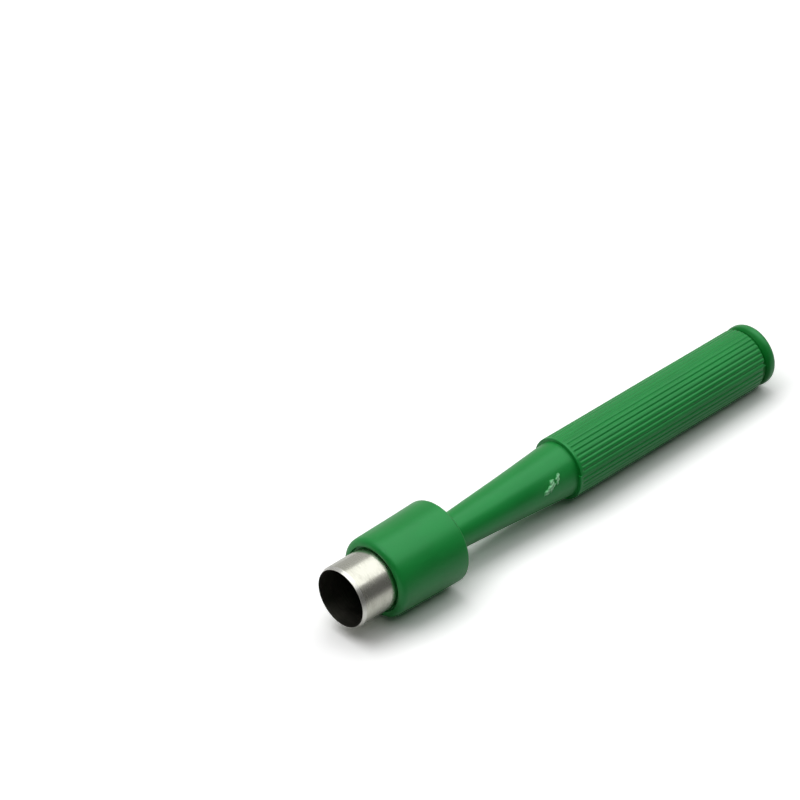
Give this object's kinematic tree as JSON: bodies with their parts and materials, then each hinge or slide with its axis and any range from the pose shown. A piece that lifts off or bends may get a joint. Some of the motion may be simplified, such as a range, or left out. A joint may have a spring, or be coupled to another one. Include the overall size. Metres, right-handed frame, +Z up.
{
  "type": "biopsy punch",
  "caption": "Biopsy punch: a short ground steel tube in the round head of a moulded plastic handle, with a slim neck and a finely ribbed grip closed by an end cap",
  "frame": {"origin": "on the table, under the middle of the punch's length", "axes": "the punch lies along X with the blade towards -X and the end cap towards +X, and +Z is up from the table; it rests on the rear edge of its head and on its end cap, so its own axis falls by about 1.4 degrees towards the end cap"},
  "size_m": [0.0964, 0.0144, 0.0145],
  "materials": {
    "handle": "satin",
    "blade": "polished",
    "end_cap": "satin"
  },
  "bodies": {
    "root": {"handle": "handle", "blade": "blade", "end_cap": "end_cap"}
  },
  "joints": []
}
